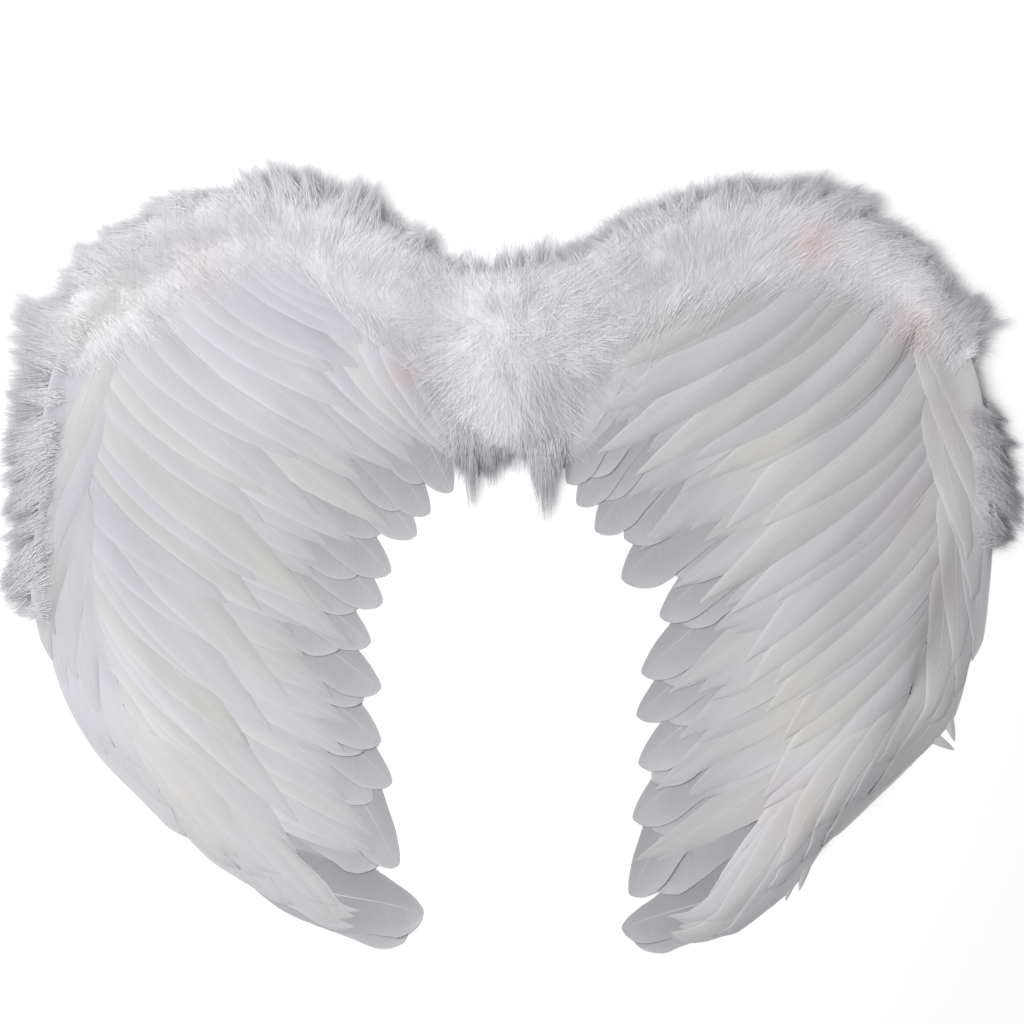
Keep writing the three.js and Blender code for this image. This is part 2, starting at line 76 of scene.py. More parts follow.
UPPER = [
    (44, 16, 62, 62, 32), (61, 22, 52, 80, 34), (78, 22, 45, 96, 36), (95, 10, 41, 113, 38),
    (117, -18, 41, 125, 40), (142, -55, 44, 132, 40), (161, -95, 48, 138, 40), (173, -136, 51, 140, 40),
    (180, -176, 54, 140, 40), (181, -213, 56, 138, 40), (174, -248, 56, 132, 40), (161, -278, 54, 122, 39),
    (144, -303, 50, 108, 36),
]
# Visible feathers beside the middle that belong to the first solid of their row
INNER = {
    "covert": [(40, -64, 70, 96, 36), (33, -68, 76, 102, 38), (25, -46, 84, 84, 34)],
    "upper": [(34, 2, 66, 66, 34), (27, -6, 76, 66, 34)],
}
# Feathers that close the wing tip and belong to the last solid of the flights
TAIL = {
    "right": [(72, -344, 24, 122, 42), (90, -322, 34, 130, 44)],
    "left": [(64, -341, 24, 120, 42), (84, -313, 34, 130, 46)],
}
# Edge feathers: the step where each solid starts, the feathers for each solid, the ranges of their length
# and width, how deep they are staggered, by a golden share from one to the next, and how much further in
# their roots lie
EDGE_STARTS = [240, 345, 440, 525, 612]
EDGE_PER = 5
EDGE_LENGTH = (115, 150)
EDGE_WIDTH = (20, 25)
EDGE_STAGGER = 17
GOLDEN = 0.618
EDGE_ROOT = 9
# The bank that they lie on: its first step, the steps in which it rises, its height and its reach out and in
BANK_START = 262
BANK_RAMP = 40
BANK_HEIGHT = 9
BANK_OUT = 8
BANK_IN = 16
# How far the edge feathers reach past the leading edge, by the share of its length
EDGE_OUT = {
    "right": [(0.5, 3), (0.56, 4), (0.6, 1.5), (0.66, 1.5), (0.7, 4), (0.75, -1), (0.84, -3), (0.87, 2),
              (0.9, 8), (0.95, 13), (1, 11)],
    "left": [(0.5, 3), (0.6, 6), (0.64, 4), (0.7, 3.5), (0.86, 3), (0.9, 1), (0.95, 1), (1, 6)],
}
# Stray feathers under the outer edge: solid, root x, root y, tip x, tip y, width
STRAYS = {
    "right": [(4, 257, -195, 266, -224, 8), (4, 244, -216, 266, -229, 7), (4, 248, -212, 239, -239, 7),
              (5, 172, -288, 164, -320, 8), (5, 178, -290, 172, -314, 6)],
    "left": [],
}
# The bend of a solid's shaft, as a share of its length, and the places where its height is read
SOLID_BEND = 0.045
STATIONS = np.array([0, 0.14, 0.36, 0.62, 0.87, 1])

# Boas by the share of the leading edge: inset of the core and its half height, how far the down reaches
# past the outline, and how far it lies in over the feathers
BOA_INSET = [(0, 12), (0.3, 12), (0.42, 1), (1, 1)]
BOA_HALF = [(0, 4), (0.035, 7), (0.28, 7), (0.4, 3), (1, 3)]
BOA_END = {"right": 0.555, "left": 0.612}
BOA_OUT = {
    "right": [(0, 14), (0.06, 16), (0.1, 12), (0.15, 14), (0.18, 11), (0.21, 17), (0.24, 15), (0.265, 8),
              (0.3, 8), (0.34, 13), (0.365, 18), (0.383, 31), (0.4, 8), (0.415, 1), (0.435, 3),
              (0.445, 14), (0.48, 20), (0.52, 20), (0.545, 17), (0.56, 4)],
    "left": [(0, 5), (0.03, 7), (0.05, 11), (0.08, 14), (0.1, 24), (0.125, 19), (0.165, 23), (0.185, 13),
             (0.2, 7), (0.24, 15), (0.28, 16), (0.34, 23), (0.363, 24), (0.378, 40), (0.395, 42),
             (0.41, 36), (0.45, 38), (0.5, 26), (0.6, 26), (0.615, 9)],
}
BOA_IN = {
    "right": [(0, 60), (0.08, 62), (0.16, 52), (0.22, 34), (0.3, 24), (0.36, 22), (0.4, 10), (1, 6)],
    "left": [(0, 62), (0.07, 56), (0.12, 36), (0.17, 26), (0.25, 26), (0.33, 27), (0.38, 24), (0.41, 10),
             (1, 6)],
}
# The way that the down is combed along the edge, and how it leans where it lies in over the feathers
BOA_COMB = [
    (0, -0.2), (0.12, 0), (0.19, 0.9), (0.27, 0.9), (0.33, 0.3), (0.38, -0.3), (0.405, -0.5), (0.43, 0.4),
    (0.5, 1.1), (1, 1.1),
]
BOA_LEAN = [(0, 58), (0.15, 44), (0.33, 36), (0.4, 60)]
# Where the soft front of a boa ends, and the heights that its down keeps to
SHOULDER = 0.405
BOA_TOP = 23
LOW_DOWN = 12
# Down that reaches out past this x is drawn in by this share
OUTER_REACH = 307
DRAWN_IN = 0.6
# Painted shade: how much greyer the down is along the outer side and above it, and how light the grey of its
# tufts is
BOA_PAINTED_SHADE = {"right": 1.35, "left": 0.2}
TOP_PAINTED_SHADE = {"right": 0.1, "left": 0.0}
TUFT_PAINTED_SHADE = {"right": 0.75, "left": 1.0}
BOA_SEED = 31

# The middle boa: its line and the number of steps along it, the steps that its soft body and its down take
# up, its height, and by steps the half width of the body, and that of the down and of the wisps at its sides
CENTRE_PATH = [(-2, 64), (2, 30), (-3, -5), (4, -38), (10, -70)]
CENTRE_STEPS = 139
BODY_STEPS = 116
DOWN_STEPS = 112
CENTRE_TOP = 19
BODY_HALF = [(0, 78), (30, 74), (80, 42), (116, 32)]
DOWN_HALF = [(0, 66, 74), (30, 60, 66), (80, 32, 38), (112, 24, 28)]
# Which way the down and the wisps lie: by steps, the share of y, and of x and y
DOWN_FLOW = [(0, 1.0), (30, 0.3), (60, -0.5), (112, -1.4)]
WISP_FLOW = [(0, 1.2, 0.1), (40, 0.9, -0.6), (100, 0.4, -1.2)]
# Tufts at its top and those that hang from its end: base x, base y, tip x, tip y, how grey they are painted as
# shade
CENTRE_TUFTS = [
    (-30, 48, -33, 65, 0.2), (-20, 48, -22, 67, 0.3), (-10, 48, -9, 71, 0.3), (2, 48, 3, 74, 0.3),
    (12, 50, 15, 77, 0.3), (22, 50, 26, 76, 0.3), (32, 52, 36, 80, 0.3), (42, 54, 46, 82, 0.2),
    (-27, -38, -25, -82, 0.8), (-15, -38, -13, -70, 0.9), (-33, -36, -35, -60, 0.7), (-6, -40, -5, -60, 0.8),
    (-21, -36, -20, -62, 1.0), (-10, -36, -9, -56, 1.0), (-29, -40, -31, -64, 0.8), (-17, -42, -17, -64, 1.0),
    (17, -46, 19, -92, 0.6), (12, -44, 15, -78, 0.5), (25, -44, 27, -66, 0.3), (19, -44, 22, -84, 0.6),
    (4, -40, 5, -54, 0.4),
]
CENTRE_SEED = 5

# Faint tints by place on the pair: x, y, radius, colour, strength. Blush and ivory are the feathers' own warm
# patches; the lighter and darker spots are painted light and painted shade
BLUSH = (1.05, 0.90, 0.87)
IVORY = (1.03, 1.02, 0.93)
PAINTED_LIGHT = (1.1, 1.1, 1.1)
PAINTED_SHADE = (0.86, 0.86, 0.87)
SPOTS = [
    (-68, -3, 9, BLUSH, 0.9), (-188, 63, 16, BLUSH, 0.35), (181, 75, 13, BLUSH, 0.8),
    (241, 24, 15, BLUSH, 0.75), (262, -30, 16, BLUSH, 0.3), (236, -82, 18, BLUSH, 0.3),
    (166, -264, 20, BLUSH, 0.35), (168, -205, 30, IVORY, 0.8), (-258, 26, 14, IVORY, 0.5),
    (-236, 46, 14, IVORY, 0.5), (-262, -85, 70, PAINTED_SHADE, 1.1), (262, -85, 45, PAINTED_LIGHT, 1),
    (-150, -255, 90, PAINTED_LIGHT, 0.9), (150, -255, 90, PAINTED_LIGHT, 1), (257, -128, 14, BLUSH, 0.4),
    (154, -55, 24, IVORY, 0.6), (158, -52, 26, PAINTED_LIGHT, 0.35), (-190, -245, 45, IVORY, 0.5),
    (-130, -120, 40, IVORY, 0.35), (90, 20, 26, IVORY, 0.3), (236, -191, 11, PAINTED_LIGHT, 2),
    (-140, 20, 70, PAINTED_SHADE, 0.3), (-200, 85, 70, PAINTED_SHADE, 0.2), (130, 20, 50, PAINTED_LIGHT, 0.3),
    (-251, 33, 19, PAINTED_LIGHT, 1.0),
]


# Curves

def column(rows, at, k=1):
    """A column of a table, by its first one."""
    table = np.array(rows, float)
    return np.interp(at, table[:, 0], table[:, k])


def spline(points, count):
    """Evenly spaced points and unit tangents of a smooth curve through the points."""
    p = np.array(points, float)
    padded = np.vstack([2 * p[0] - p[1], p, 2 * p[-1] - p[-2]])
    fine = []
    for i in range(len(p) - 1):
        a, b, c, d = padded[i:i + 4]
        t = np.linspace(0, 1, 40, endpoint=i == len(p) - 2)[:, None]
        bend = (2 * a - 5 * b + 4 * c - d) * t**2 + (3 * b - a - 3 * c + d) * t**3
        fine.append(0.5 * (2 * b + (c - a) * t + bend))
    fine = np.vstack(fine)
    run = np.concatenate([[0], np.cumsum(np.linalg.norm(np.diff(fine, axis=0), axis=1))])
    even = np.linspace(0, run[-1], count)
    out = np.stack([np.interp(even, run, fine[:, k]) for k in range(2)], axis=1)
    tangent = np.gradient(out, axis=0)
    return out, tangent / np.linalg.norm(tangent, axis=1)[:, None]


def left_of(tangent):
    return np.stack([-tangent[:, 1], tangent[:, 0]], axis=1)


def smooth(values, width, axis=0):
    """A running mean over an odd number of neighbours along an axis."""
    pad = [(0, 0)] * values.ndim
    pad[axis] = (width // 2 + 1, width // 2)
    total = np.cumsum(np.pad(values, pad, mode="edge"), axis=axis)
    count = values.shape[axis]
    low, high = np.arange(count), np.arange(count) + width
    return (np.take(total, high, axis) - np.take(total, low, axis)) / width


# Heights

def tree_of(node):
    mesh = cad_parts[node].data
    points = [v.co.copy() for v in mesh.vertices]
    return BVHTree.FromPolygons(points, [list(f.vertices) for f in mesh.polygons])


def solid_top(tree, x, y, otherwise):
    """The top of a solid over a plan point."""
    hit = tree.ray_cast(Vector((x * MM, y * MM, 0.5)), Vector((0, 0, -1)))[0]
    return otherwise if hit is None else hit.z / MM


class Ground:
    """The highest surface laid so far over each square millimetre of one wing."""

    LOW = np.array([-100.0, -400.0])
    SIZE = (460, 580)

    def __init__(self, nodes, side):
        """Starts on the flat backing."""
        self.heights = np.zeros(self.SIZE)
        step = 3
        for tree in [tree_of(node) for node in nodes]:
            for i in range(0, self.SIZE[0], step):
                for j in range(0, self.SIZE[1], step):
                    x, y = self.LOW + (i + 1, j + 1)
                    block = self.heights[i:i + step, j:j + step]
                    block[:] = np.maximum(block, solid_top(tree, side * x, y, 0.0))

    def squares(self, points):
        at = np.round(points[..., :2] - self.LOW).astype(int)
        at = np.clip(at, 0, np.array(self.SIZE) - 1)
        return at[..., 0], at[..., 1]

    def top(self, points):
        return self.heights[self.squares(points)]

    def raise_to(self, points):
        np.maximum.at(self.heights, self.squares(points), points[..., 2])

    def raise_under(self, grid):
        """Raises every square under a grid of points."""
        for axis in (0, 1):
            count = grid.shape[axis]
            a, b = np.take(grid, range(count - 1), axis), np.take(grid, range(1, count), axis)
            grid = np.concatenate([a + (b - a) * t for t in np.linspace(0, 1, 9)], axis=axis)
        self.raise_to(grid)


# Meshes

def toned(points, tint, side):
    """Tints with the faint spots of colour, painted light and painted shade among them, mixed in by place."""
    out = np.array(tint, float)
    for x, y, radius, colour, strength in SPOTS:
        away = np.hypot(points[:, 0] * side - x, points[:, 1] - y) / radius
        share = (strength * np.exp(-away**2))[:, None]
        out *= 1 + share * (np.array(colour) - 1)
    return out


def mesh_object(name, part, side):
    """A smooth mesh of (points in millimetres, four-cornered faces, tint, uv), mirrored for side -1."""
    points, faces, tint, uv = part
    tint = toned(points, tint, side)
    points = points * np.array([side, 1, 1])
    if side < 0:
        faces = faces[:, ::-1]
    mesh = bpy.data.meshes.new(name)
    mesh.vertices.add(len(points))
    mesh.vertices.foreach_set("co", (points * MM).astype(np.float32).ravel())
    mesh.loops.add(faces.size)
    mesh.loops.foreach_set("vertex_index", faces.astype(np.int32).ravel())
    mesh.polygons.add(len(faces))
    mesh.polygons.foreach_set("loop_start", np.arange(0, faces.size, 4, dtype=np.int32))
    mesh.update(calc_edges=True)
    mesh.polygons.foreach_set("use_smooth", np.ones(len(faces), bool))
    colour = mesh.color_attributes.new("tint", "FLOAT_COLOR", "POINT")
    rgba = np.ones((len(points), 4), np.float32)
    rgba[:, :3] = tint
    colour.data.foreach_set("color", rgba.ravel())
    layer = mesh.uv_layers.new(name="barbs")
    layer.data.foreach_set("uv", uv[faces.ravel()].astype(np.float32).ravel())
    mesh.update()
    obj = bpy.data.objects.new(name, mesh)
    bpy.context.scene.collection.objects.link(obj)
    return obj


def stack(parts):
    """Several parts as one."""
    start = np.cumsum([0] + [len(p[0]) for p in parts[:-1]])
    return (
        np.vstack([p[0] for p in parts]),
        np.vstack([p[1] + s for p, s in zip(parts, start)]),
        np.vstack([p[2] for p in parts]),
        np.vstack([p[3] for p in parts]),
    )


def sheet(points, tint, uv):
    """A part from a grid of points. Its faces look up where the grid turns left."""
    rows, columns = points.shape[:2]
    i, j = np.meshgrid(np.arange(rows - 1), np.arange(columns - 1), indexing="ij")
    a = (i * columns + j).ravel()
    faces = np.stack([a, a + columns, a + columns + 1, a + 1], axis=1)
    return points.reshape(-1, 3), faces, tint.reshape(-1, 3), uv.reshape(-1, 2)


STRAND_STEPS = 2
STRAND_TAPER = 0.85


def strands(base, control, end, facing, width, tint_root, tint_tip):
    """A part of tapered strips along quadratic curves."""
    s = np.linspace(0, 1, STRAND_STEPS + 1)[None, :, None]
    curve = (1 - s) ** 2 * base[:, None] + 2 * s * (1 - s) * control[:, None] + s**2 * end[:, None]
    across = np.cross(np.gradient(curve, axis=1), facing[:, None])
    across /= np.linalg.norm(across, axis=2)[..., None] + 1e-9
    half = width[:, None, None] / 2 * (1 - STRAND_TAPER * s)
    points = np.stack([curve - across * half, curve + across * half], axis=2)
    tint = tint_root[:, None] + (tint_tip - tint_root)[:, None] * s**2.2
    tint = np.broadcast_to(tint[:, :, None], points.shape)
    uv = np.broadcast_to(points[..., :2] / 10, points.shape[:3] + (2,))
    corners = 2 * (STRAND_STEPS + 1)
    start = (np.arange(len(base))[:, None] * corners + 2 * np.arange(STRAND_STEPS)[None]).ravel()
    faces = np.stack([start, start + 1, start + 3, start + 2], axis=1)
    return points.reshape(-1, 3), faces, tint.reshape(-1, 3), uv.reshape(-1, 2)


# Feathers

# Barbs on each side of a shaft, places along a barb and their tints, a painted highlight at the rim and by the
# shaft, how far barbs sweep to the tip, the gap under a vane, the lowest height of one, and its shaft, lighter
# by a painted highlight
BARBS = 30
ACROSS = np.array([0, 0.18, 0.4, 0.62, 0.82, 0.94, 1])
PAINTED_RIM_HIGHLIGHT = np.array([1.03, 1, 0.99, 0.98, 0.99, 1.03, 1.09])
SWEEP = 0.2
LIE_GAP = 0.12
FLOOR_GAP = 0.1
SHAFT_GIRTH = 0.5
PAINTED_SHAFT_HIGHLIGHT = 1.12
# A usual half width, for which the lift of a rim is given
USUAL_HALF = 21
ALONG = np.linspace(0, 1, 61)
SHARES = np.linspace(-1, 1, 25)


def flight_spread(u):
    """Half width along a long feather with a round tip, as a share of the widest."""
    rise = 0.3 + 0.7 * np.sin(np.pi / 2 * np.clip(u / 0.45, 0, 1))
    taper = 1 - 0.26 * np.clip((u - 0.5) / 0.4, 0, 1.2)
    return rise * taper * np.sqrt(np.clip(1 - np.clip((u - 0.84) / 0.16, 0, 1) ** 2.2, 0, 1))


def covert_spread(u):
    """The same for a softer feather that narrows to its tip."""
    rise = 0.35 + 0.65 * np.sin(np.pi / 2 * np.clip(u / 0.36, 0, 1))
    return rise * np.clip(1 - np.clip((u - 0.42) / 0.58, 0, 1) ** 1.5, 0, 1) ** 0.85


# Slimness is a share of the solid's width, and skew draws in one side of the tip. The open rim, on side 1
# or -1 of the shaft, stands off what it lies on by a lift, around a place and along a stretch that are
# shares of the length. The shades are painted shade for the root half, near the tip and at the tip: the
# flights are painted darker where the coverts lie over them, and the coverts darker towards their tips.
# Across paints shade from one rim to the other, darker on the side that lies under the feather above and
# lighter on the open rim, and cream is how warm the white gets. Sink is how deep the tip goes in between
# the feathers under it. A row has companions between its feathers, so many per gap. Vary and shorter are the
# ranges by which the tips of both are drawn back, and bends is that of their shafts. Each feather is turned by
# some degrees about its root, which is tucked in under the next row.
KINDS = {
    "flight": {
        "spread": flight_spread, "slim": 0.95, "skew": 0.62, "ragged": 0.02, "hook": 0.03, "crown": 0.8,
        "rim": 1, "lift": (0.6, 1.6), "lifted": (0.85, 0.95), "stretch": (0.14, 0.24), "sink": 0.0,
        "shade": (0.68, 0.78, 0.92), "across": (0.8, 0.92, 1.0, 1.06), "cream": 0.1, "seed": 1,
        "per": 1, "vary": (0, 2), "shorter": (13, 26), "bends": (-0.005, 0.012), "turn": 0, "tuck": 0,
    },
    "covert": {
        "spread": covert_spread, "slim": 0.82, "skew": 0.0, "ragged": 0.02, "hook": 0.0, "crown": 0.8,
        "rim": 1, "lift": (0.0, 1.0), "lifted": (0.35, 0.7), "stretch": (0.08, 0.2), "sink": 0.4,
        "shade": (1.0, 0.95, 0.86), "across": (0.82, 0.94, 1.01, 1.07), "cream": 0.8, "seed": 2,
        "per": 2, "vary": (-26, 0), "shorter": (-42, 12), "bends": (0.0, 0.045), "turn": -7, "tuck": 26,
    },
    "upper": {
        "spread": covert_spread, "slim": 0.82, "skew": 0.0, "ragged": 0.02, "hook": 0.0, "crown": 0.8,
        "rim": 1, "lift": (0.0, 1.0), "lifted": (0.35, 0.7), "stretch": (0.08, 0.2), "sink": 0.4,
        "shade": (1.0, 1.0, 0.98), "across": (0.87, 0.96, 1.0, 1.06), "cream": 1, "seed": 3,
        "per": 2, "vary": (-28, 16), "shorter": (-75, 25), "bends": (0.01, 0.05), "turn": -4, "tuck": 12,
    },
    "edge": {
        "spread": covert_spread, "slim": 1, "skew": 0.0, "ragged": 0.015, "hook": 0.0, "crown": 0.6,
        "rim": -1, "lift": (0.0, 0.4), "lifted": (0.4, 0.7), "stretch": (0.1, 0.2), "sink": 0.4,
        "shade": (1.0, 0.99, 0.97), "across": (1.0, 1.0, 1.0, 1.0), "cream": 1, "seed": 4,
    },
}
# Painted shade across the upper coverts of the right wing, where the light falls from the other side: the
# upper rim is painted lighter and the lower one darker
RIGHT_UPPER_PAINTED_SHADE = (1.09, 1.02, 0.96, 0.84)


def row_line(row, bend, hook=0.0):
    """The plan line of a feather's shaft, from its root to its tip, where it can hook to the left."""
    tip_x, tip_y, lean, length, _ = row
    ahead = -np.array([np.cos(np.radians(lean)), np.sin(np.radians(lean))])
    beside = np.array([-ahead[1], ahead[0]])
    along = (ALONG - 1) * length
    across = 4 * bend * length * ALONG * (1 - ALONG)
    across = across + hook * length * (np.clip((ALONG - 0.6) / 0.4, 0, 1) ** 2 - 1)
    return np.array([tip_x, tip_y]) + along[:, None] * ahead + across[:, None] * beside


def plan(line, u, w):
    """Plan points at shares along a shaft's line and distances to its left."""
    way = np.gradient(line, axis=0)
    left = left_of(way / np.linalg.norm(way, axis=1)[:, None])

    def at(values):
        return np.stack([np.interp(u, ALONG, values[:, k]) for k in range(2)], axis=-1)

    return at(line) + at(left) * w[..., None]


def lay(line, half, kind, ground, rng):
    """Heights of a soft vane on the ground, by ALONG and SHARES. Rims and tips hug what is under them."""
    w = SHARES[None] * (np.maximum(kind["spread"](ALONG), 0.08) * half)[:, None]
    under = ground.top(plan(line, ALONG[:, None] + 0 * w, w))
    z = under
    for _ in range(3):
        z = np.maximum(smooth(smooth(z, 13, 0), 11, 1), under)
    z = smooth(smooth(z, 5, 0), 5, 1)
    near = smooth(smooth(under, 5, 0), 3, 1)
    ends = np.clip((1 - ALONG) / 0.3, 0, 1) ** 0.5 * np.clip(ALONG / 0.1, 0, 1)
    free = np.clip((1 - np.abs(SHARES)) / 0.5, 0, 1)[None] * ends[:, None]
    z = near + (z - near) * free * (2 - free) + LIE_GAP
    tip = np.clip((ALONG - 0.86) / 0.14, 0, 1)[:, None] ** 2
    z = z - kind["sink"] * np.maximum(tip, 0.6 * SHARES**8)
    crown = kind["crown"] * (1 - SHARES**2)[None] * np.clip((1 - ALONG) / 0.25, 0, 1)[:, None]
    lift, middle, reach = (rng.uniform(*kind[name]) for name in ("lift", "lifted", "stretch"))
    rim = lift * (half / USUAL_HALF) ** 2 * np.exp(-(((ALONG - middle) / reach) ** 2))
    return np.maximum(z + crown + rim[:, None] * np.clip(SHARES * kind["rim"], 0, 1) ** 3, FLOOR_GAP)


def feather(line, width, kind, ground, rng, tint):
    """One feather laid on the ground, as a part."""
    half = width / 2
    length = np.linalg.norm(np.diff(line, axis=0), axis=1).sum()
    heights = lay(line, half, kind, ground, rng)

    def place(u, w, dz=0.0):
        share = w / np.maximum(kind["spread"](u) * half, 0.5)
        a = np.clip(u, 0, 1) * (len(ALONG) - 1)
        b = (np.clip(share, -1, 1) + 1) / 2 * (len(SHARES) - 1)
        i, j = np.minimum(a.astype(int), len(ALONG) - 2), np.minimum(b.astype(int), len(SHARES) - 2)
        a, b = a - i, b - j
        z = (heights[i, j] * (1 - a) + heights[i + 1, j] * a) * (1 - b)
        z = z + (heights[i, j + 1] * (1 - a) + heights[i + 1, j + 1] * a) * b + dz
        return np.concatenate([plan(line, u, w), z[..., None]], axis=-1)

    def skewed(u, hand):
        near_tip = np.clip((u - 0.55) / 0.45, 0, 1)
        return 1 + kind["skew"] * near_tip * np.where(hand < 0, -1, 0.2)

    u = np.linspace(0, 1, 220)[:, None]
    w = np.linspace(-1, 1, 55)[None] * kind["spread"](u) * half
    ground.raise_to(place(u + 0 * w, w * skewed(u, w)))

    parts = []
    base = 0.01 + 0.99 * (1 - (1 - np.linspace(0, 1, BARBS)) ** 1.4)
    end = base + SWEEP * (1 - base**3)
    for hand in (-1, 1):
        ragged = smooth(rng.standard_normal(BARBS), 3)
        reach = kind["spread"](end) * half * (1 + kind["ragged"] * ragged) * skewed(end, hand)
        u = np.minimum(base[:, None] + (end - base)[:, None] * ACROSS, 1)
        w = hand * reach[:, None] * ACROSS
        points = place(u, w)
        # Painted highlight along the rim and beside the shaft
        shade = PAINTED_RIM_HIGHLIGHT * (1 + 0.006 * rng.standard_normal((BARBS, 1)))
        # Painted shade across the vane and along it
        shade = shade * np.interp(w / half, [-0.8, -0.2, 0.4, 0.8], kind["across"])
        shade = tint * (shade * np.interp(u, [0.5, 0.85, 1], kind["shade"]))[..., None]
        uv = [base[:, None] * length / 10 + 0 * w, np.abs(w) / 10 + 50 * (hand > 0)]
        uv = np.stack(uv, axis=-1)
        part = sheet(points, shade, uv)
        parts.append(part if hand > 0 else (part[0], part[1][:, ::-1], part[2], part[3]))
    # The shaft, as a slim ridge
    u = np.linspace(0, 0.96, 13)[:, None] + np.zeros((1, 4))
    girth = SHAFT_GIRTH * (1 - 0.8 * u)
    out, up = np.array([-1, -0.5, 0.5, 1]), np.array([0, 0.5, 0.5, 0])
    points = place(u, out * girth, up * girth + 0.06)
    # The shaft is painted lighter, a painted highlight
    shade = np.broadcast_to(tint * PAINTED_SHAFT_HIGHLIGHT, points.shape)
    parts.append(sheet(points, shade, np.stack([u * length / 10, 0 * u], axis=-1)))
    return stack(parts)


def spine_of(tree, line, side, otherwise=4.0):
    """The height of a feather's solid along its shaft."""
    spots = plan(line, np.minimum(STATIONS, 0.985), 0 * STATIONS)
    return np.interp(ALONG, STATIONS, [solid_top(tree, side * x, y, otherwise) for x, y in spots])


def drawn_back(row, off):
    """A feather with its tip drawn back by off."""
    x, y, lean, length, width = row
    return x + off * np.cos(np.radians(lean)), y + off * np.sin(np.radians(lean)), lean, length - off, width


def with_companions(rows, inner, tail, kind, rng):
    """A row's feathers and others between them, as (place in the row, line, width), from the wing tip up."""
    per, turn = kind["per"], kind["turn"]
    out = [(float(i), drawn_back(row, rng.uniform(*kind["vary"]))) for i, row in enumerate(rows)]
    out += [(-0.3 * (k + 1), row) for k, row in enumerate(inner)]
    out += [(len(rows) - 0.5, row) for row in tail]
    for i, (a, b) in enumerate(zip(rows[:-1], rows[1:])):
        for k in range(1, per + 1):
            at = k / (per + 1) + rng.uniform(-0.08, 0.08)
            row = np.array(a) * (1 - at) + np.array(b) * at
            row = row + [0, 0, rng.normal(0, 1.6), 0, rng.normal(0, 2)]
            out.append((i + at, drawn_back(row, rng.uniform(*kind["shorter"]))))
    feathers = []
    for at, (x, y, lean, length, width) in sorted(out, reverse=True):
        a, b = np.radians(lean), np.radians(lean + turn)
        x, y = x + length * (np.cos(a) - np.cos(b)), y + length * (np.sin(a) - np.sin(b))
        row = (x, y, lean + turn, length + kind["tuck"], width)
        feathers.append((at, row_line(row, rng.uniform(*kind["bends"]), kind["hook"]), width))
    return feathers


# Materials

def principled(name):
    material = bpy.data.materials.new(name)
    material.use_nodes = True
    nodes, links = material.node_tree.nodes, material.node_tree.links
    return material, nodes, links, nodes["Principled BSDF"]


def tint_by(nodes, links, shader, factor, low, high):
    """The mesh's own tint, made darker and lighter by a texture."""
    tint = nodes.new("ShaderNodeVertexColor")
    tint.layer_name = "tint"
    vary = nodes.new("ShaderNodeMapRange")
    vary.inputs["From Min"].default_value = 0.3
    vary.inputs["From Max"].default_value = 0.7
    vary.inputs["To Min"].default_value = low
    vary.inputs["To Max"].default_value = high
    links.new(factor, vary.inputs["Value"])
    shade = nodes.new("ShaderNodeVectorMath")
    shade.operation = "SCALE"
    links.new(tint.outputs["Color"], shade.inputs[0])
    links.new(vary.outputs["Result"], shade.inputs["Scale"])
    links.new(shade.outputs["Vector"], shader.inputs["Base Color"])


def bump_by(nodes, links, shader, height, strength, distance):
    bump = nodes.new("ShaderNodeBump")
    bump.inputs["Strength"].default_value = strength
    bump.inputs["Distance"].default_value = distance
    links.new(height, bump.inputs["Height"])
    links.new(bump.outputs["Normal"], shader.inputs["Normal"])


def barbed_material(name, stretch, detail, distortion, shades, bump, look):
    """A material with streaks along the barbs in its tint and its bump."""
    material, nodes, links, shader = principled(name)
    uv = nodes.new("ShaderNodeUVMap")
    uv.uv_map = "barbs"
    mapping = nodes.new("ShaderNodeMapping")
    mapping.inputs["Scale"].default_value = stretch
    streaks = nodes.new("ShaderNodeTexNoise")
    streaks.inputs["Scale"].default_value = 1.0
    streaks.inputs["Detail"].default_value = detail
    streaks.inputs["Distortion"].default_value = distortion
    links.new(uv.outputs["UV"], mapping.inputs["Vector"])
    links.new(mapping.outputs["Vector"], streaks.inputs["Vector"])
    tint_by(nodes, links, shader, streaks.outputs["Fac"], *shades)
    bump_by(nodes, links, shader, streaks.outputs["Fac"], *bump)
    for socket, value in look.items():
        shader.inputs[socket].default_value = value
    return material


def felt_material():
    material, nodes, links, shader = principled("backing_felt")
    place = nodes.new("ShaderNodeTexCoord")
    fibre = nodes.new("ShaderNodeTexNoise")
    fibre.inputs["Scale"].default_value = 900.0
    fibre.inputs["Detail"].default_value = 6.0
    cloud = nodes.new("ShaderNodeTexNoise")
    cloud.inputs["Scale"].default_value = 40.0
    links.new(place.outputs["Object"], fibre.inputs["Vector"])
    links.new(place.outputs["Object"], cloud.inputs["Vector"])
    ramp = nodes.new("ShaderNodeValToRGB")
    ramp.color_ramp.elements[0].position = 0.3
    ramp.color_ramp.elements[0].color = (0.56, 0.55, 0.53, 1)
    ramp.color_ramp.elements[1].position = 0.7
    ramp.color_ramp.elements[1].color = (0.68, 0.67, 0.65, 1)
    links.new(cloud.outputs["Fac"], ramp.inputs["Fac"])
    links.new(ramp.outputs["Color"], shader.inputs["Base Color"])
    bump_by(nodes, links, shader, fibre.outputs["Fac"], 0.5, 0.0005)
    shader.inputs["Roughness"].default_value = 0.95
    shader.inputs["Sheen Weight"].default_value = 0.3
    return material


